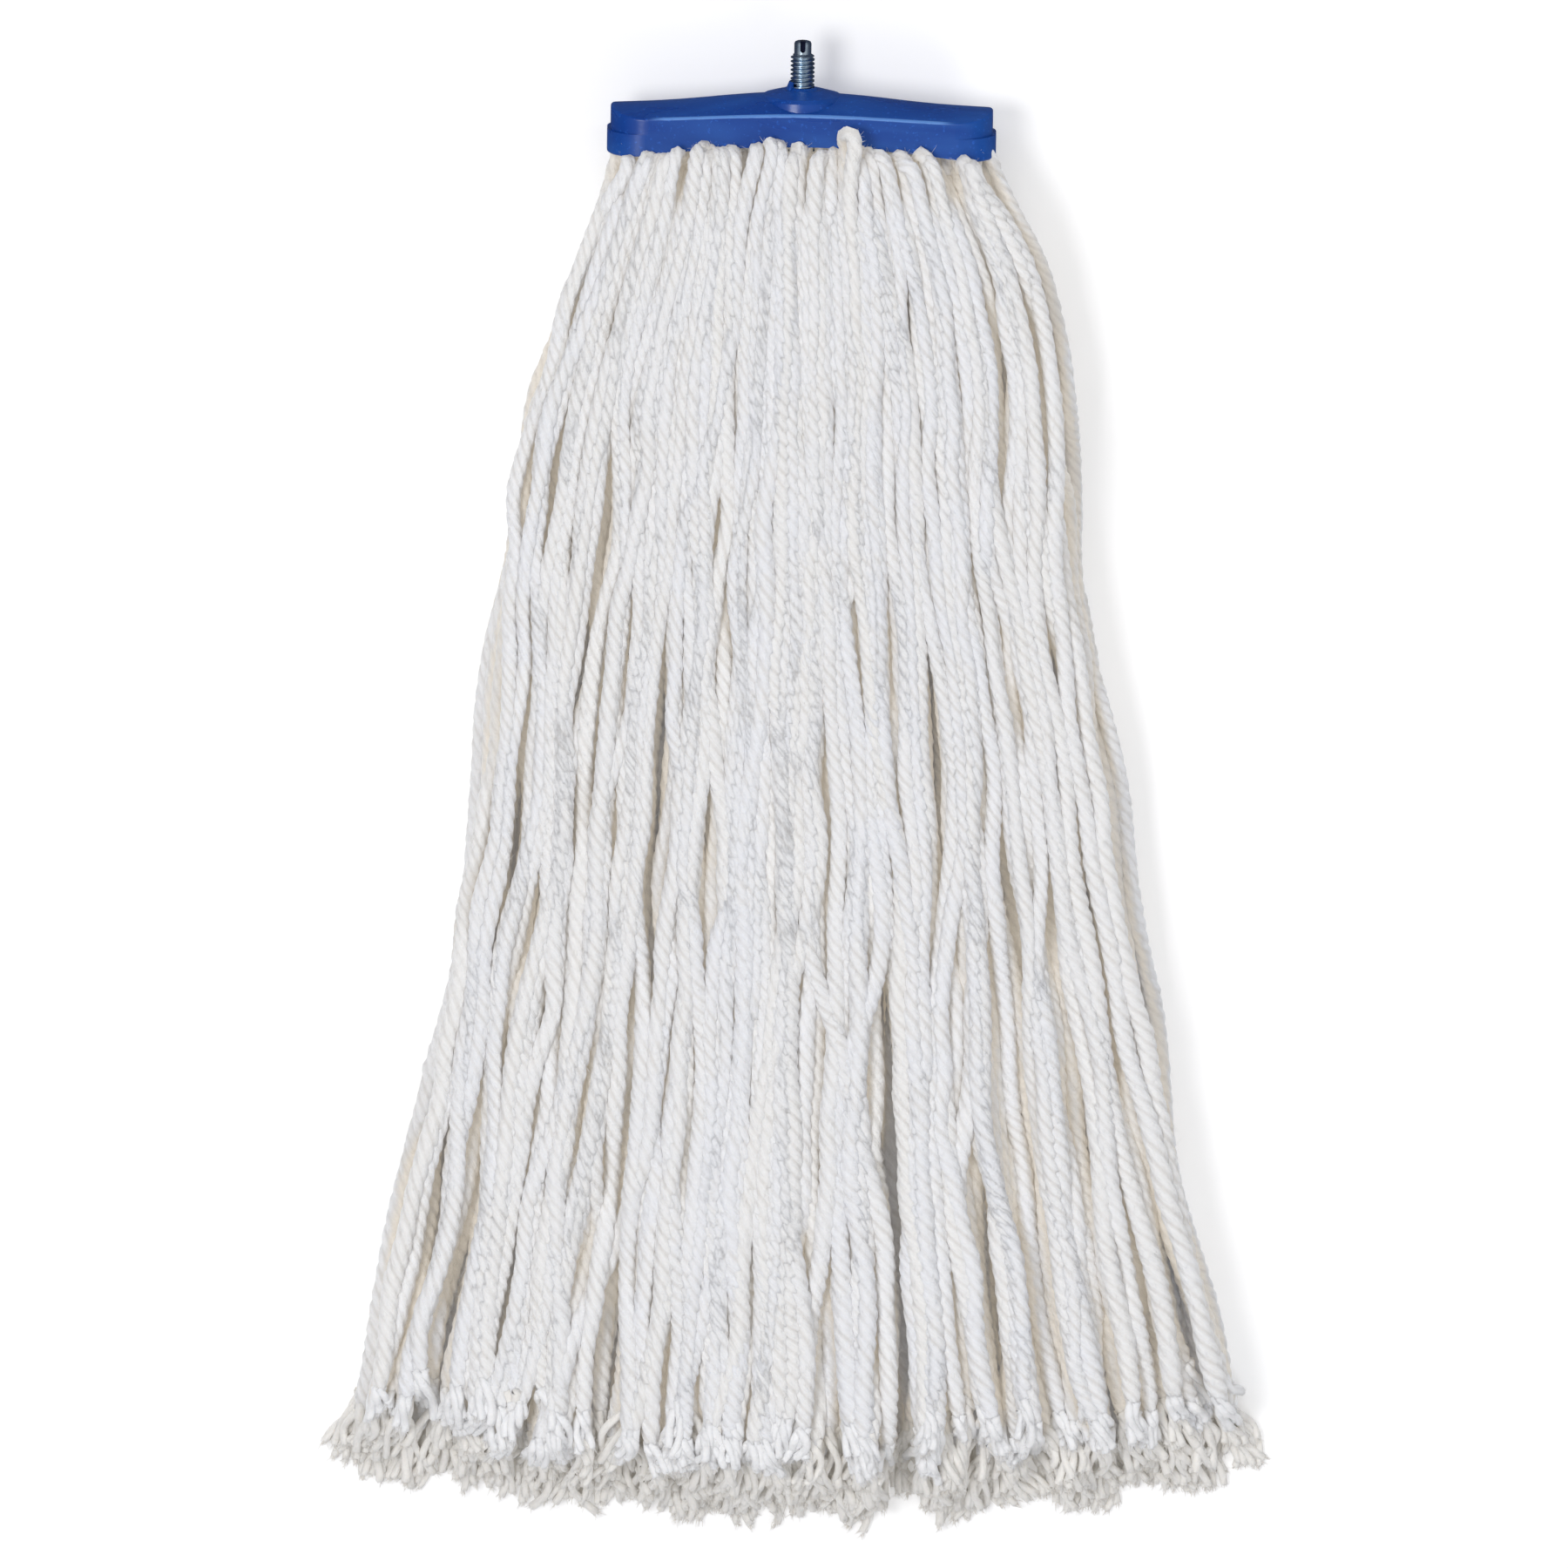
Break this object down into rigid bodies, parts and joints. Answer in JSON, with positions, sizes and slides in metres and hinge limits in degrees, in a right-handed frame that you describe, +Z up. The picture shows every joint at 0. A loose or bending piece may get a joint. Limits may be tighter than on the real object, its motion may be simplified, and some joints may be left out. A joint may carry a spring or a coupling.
{
  "type": "wet mop head",
  "caption": "Lie-flat string mop head: a moulded plastic headband with a threaded steel stud and a long skirt of white cut-end twisted yarn, lying flat.",
  "frame": {"origin": "on the stud's axis, at the hub face that the handle screws down to", "axes": "+Y out along the stud, the yarn runs towards -Y, +Z up from the floor that the head lies on, +X along the headband"},
  "size_m": [0.3002, 0.5033, 0.046],
  "materials": {
    "blue_plastic": "semi-gloss injection-moulded plastic",
    "dark_plastic": "moulded plastic, dark blue-green",
    "zinc_steel": "bright zinc plating with a bluish tint",
    "fastener_steel": "plain zinc-plated fasteners",
    "yarn": "four-ply twisted rayon yarn, slightly fuzzy"
  },
  "bodies": {
    "headband": {"bottom_lock_1": "yarn", "bottom_lock_10": "yarn", "bottom_lock_2": "yarn", "bottom_lock_3": "yarn", "bottom_lock_4": "yarn", "bottom_lock_5": "yarn", "bottom_lock_6": "yarn", "bottom_lock_7": "yarn", "bottom_lock_8": "yarn", "bottom_lock_9": "yarn", "clamp_bar": "dark_plastic", "clamp_nut": "fastener_steel", "clamp_screws": "fastener_steel", "clamp_washer": "fastener_steel", "handle_stud": "zinc_steel", "headband_channel": "blue_plastic", "lower_lock_1": "yarn", "lower_lock_2": "yarn", "lower_lock_3": "yarn", "lower_lock_4": "yarn", "lower_lock_5": "yarn", "lower_lock_6": "yarn", "lower_lock_7": "yarn", "lower_lock_8": "yarn", "lower_lock_9": "yarn", "yarn_fold": "yarn"},
    "upper_yarn": {"top_lock_1": "yarn", "top_lock_10": "yarn", "top_lock_11": "yarn", "top_lock_2": "yarn", "top_lock_3": "yarn", "top_lock_4": "yarn", "top_lock_5": "yarn", "top_lock_6": "yarn", "top_lock_7": "yarn", "top_lock_8": "yarn", "top_lock_9": "yarn", "upper_lock_1": "yarn", "upper_lock_2": "yarn", "upper_lock_3": "yarn", "upper_lock_4": "yarn", "upper_lock_5": "yarn", "upper_lock_6": "yarn", "upper_lock_7": "yarn", "upper_lock_8": "yarn"}
  },
  "joints": [
    {"name": "upper_yarn_lift", "type": "hinge", "parent": "headband", "child": "upper_yarn", "pos_m": [0, -0.02, 0.0175], "axis": [-1, 0, 0], "range_deg": [0, 80]}
  ]
}
